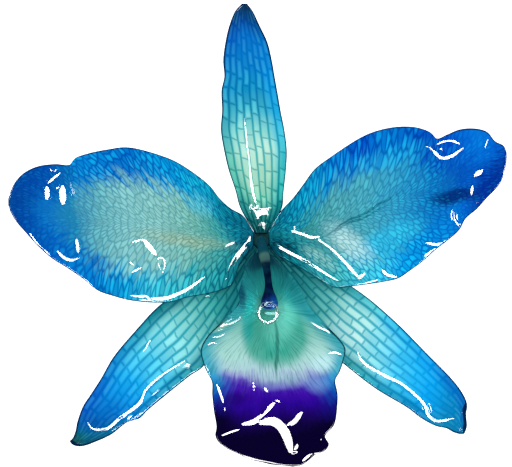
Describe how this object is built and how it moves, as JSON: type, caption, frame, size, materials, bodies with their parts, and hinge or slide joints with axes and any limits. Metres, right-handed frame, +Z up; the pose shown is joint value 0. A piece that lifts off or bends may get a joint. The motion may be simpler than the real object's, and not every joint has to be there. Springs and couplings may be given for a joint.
{
  "type": "resin-coated orchid bloom",
  "caption": "Open blue orchid bloom lying face up: narrow sepals, broad waved petals, a frilled dark-tipped lip and a small column, all under a glossy clear coat.",
  "frame": {"origin": "on the surface that the bloom lies on, under the middle of its outline", "axes": "+Z up out of the face of the bloom, +Y towards the dorsal sepal, +X towards the right petal as the face is seen"},
  "size_m": [0.0902, 0.0837, 0.0139],
  "materials": {
    "sepal_tissue": "glossy clear resin over dyed tissue",
    "petal_tissue": "glossy clear resin over dyed tissue",
    "lip_tissue": "glossy clear resin over dyed tissue",
    "column_tissue": "glossy clear resin over dyed tissue",
    "anther_tissue": "glossy clear resin over pale tissue",
    "clear_resin": "clear, glossy"
  },
  "bodies": {
    "root": {"dorsal_sepal": "sepal_tissue", "left_sepal": "sepal_tissue", "right_sepal": "sepal_tissue", "left_petal": "petal_tissue", "right_petal": "petal_tissue", "lip": "lip_tissue", "column": "column_tissue", "anther_cap": "anther_tissue", "resin_drop": "clear_resin"}
  },
  "joints": []
}
